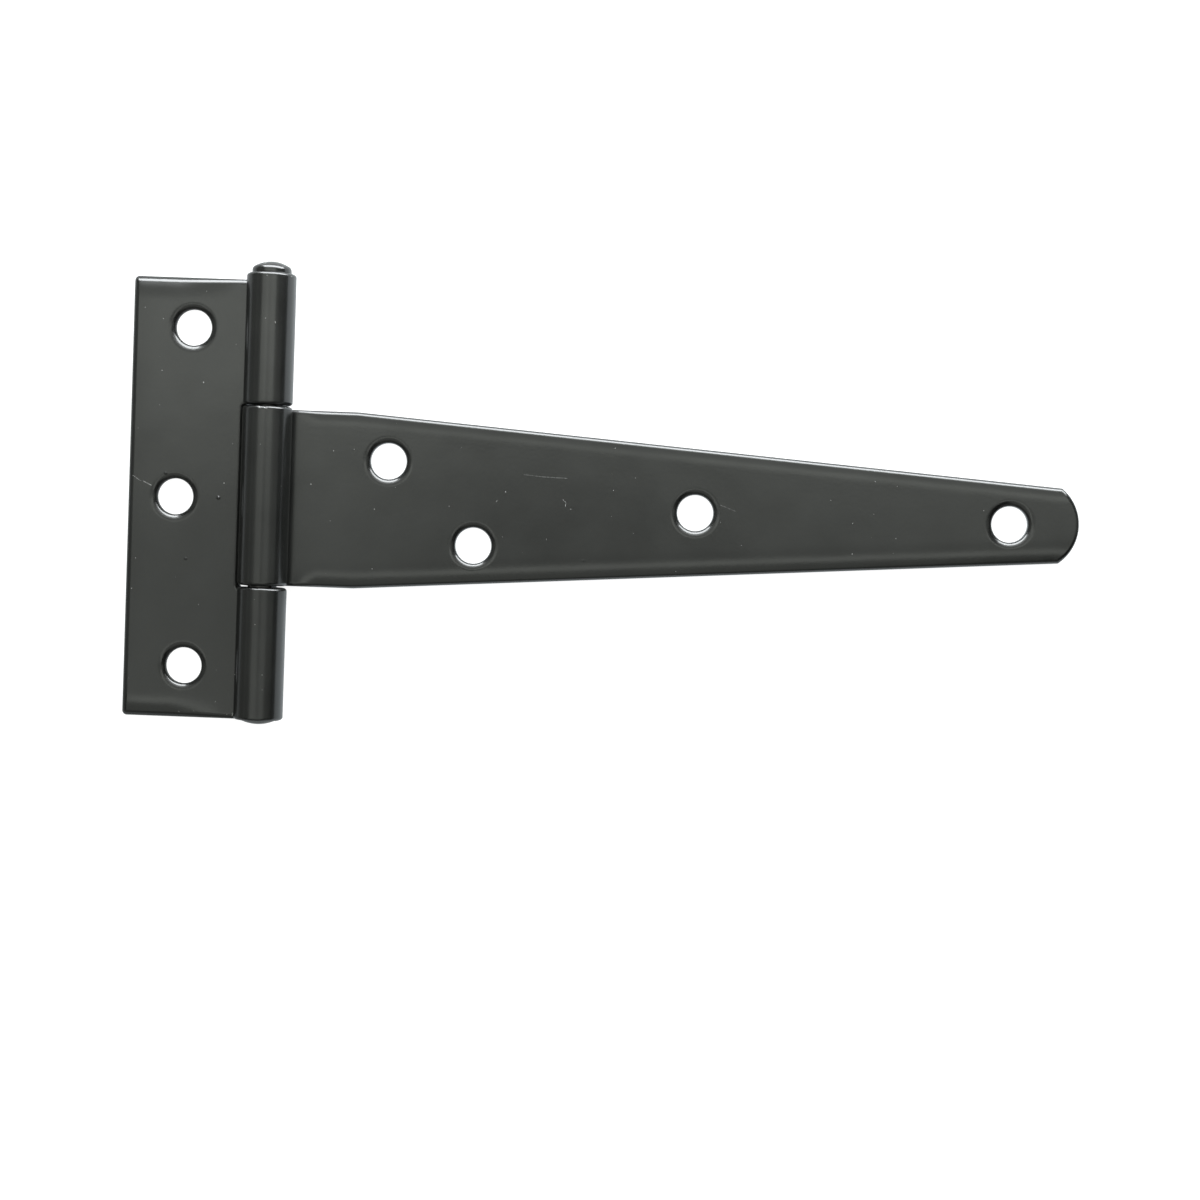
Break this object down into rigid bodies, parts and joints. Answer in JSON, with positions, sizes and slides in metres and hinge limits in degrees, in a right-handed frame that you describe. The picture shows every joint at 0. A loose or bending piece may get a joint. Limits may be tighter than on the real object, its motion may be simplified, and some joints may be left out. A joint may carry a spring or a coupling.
{
  "type": "tee hinge",
  "caption": "Light tee hinge lying open and flat: a short cross leaf and a long tapered strap on a riveted pin, all in satin black powder coat.",
  "frame": {"origin": "foot of the pin's axis on the plane of the two backs, level with the cross leaf's middle screw hole", "axes": "+X along the strap towards its tip, +Y along the pin towards its domed head, +Z out of the front faces, away from what the hinge is screwed to"},
  "size_m": [0.1825, 0.0882, 0.0094],
  "materials": {
    "powder_coat": "satin black powder coat on steel sheet",
    "powder_coat_strap": "satin black powder coat on steel sheet",
    "powder_coat_pin": "black powder coat on steel wire, a little glossier on the formed head"
  },
  "bodies": {
    "cross_leaf": {"cross_leaf": "powder_coat", "hinge_pin": "powder_coat_pin"},
    "strap": {"strap_leaf": "powder_coat_strap"}
  },
  "joints": [
    {"name": "hinge", "type": "hinge", "parent": "cross_leaf", "child": "strap", "pos_m": [0, 0, 0.0047], "axis": [0, -1, 0], "range_deg": [-90, 180]}
  ]
}
